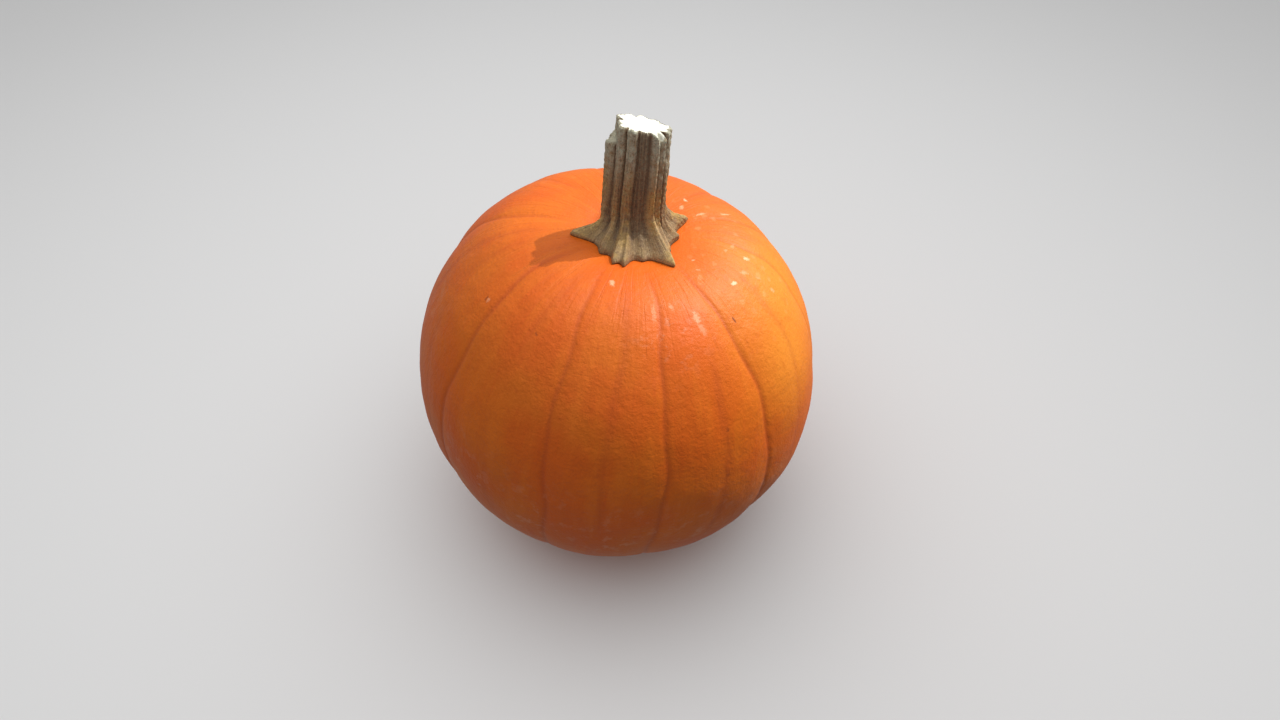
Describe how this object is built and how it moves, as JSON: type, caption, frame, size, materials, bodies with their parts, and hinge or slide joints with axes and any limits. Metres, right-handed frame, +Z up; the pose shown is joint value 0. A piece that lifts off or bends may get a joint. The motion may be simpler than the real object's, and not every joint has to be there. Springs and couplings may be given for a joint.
{
  "type": "pumpkin",
  "caption": "Small round orange pumpkin with shallow ribs and a ridged, woody cut stem, standing on a small flat spot.",
  "frame": {"origin": "middle of the bottom of the object's box, on the plane of the flat spot it stands on", "axes": "+Z up, -Y towards the side the picture shows, +X to that view's right, the way the fruit's axis leans"},
  "size_m": [0.1982, 0.1984, 0.2282],
  "materials": {
    "skin": "waxy smooth orange rind, slightly darker in the grooves",
    "woody_stem": "dry ridged grey-brown stem with ochre ridges and a pale cut end"
  },
  "bodies": {
    "root": {"fruit": "skin", "stem": "woody_stem"}
  },
  "joints": []
}
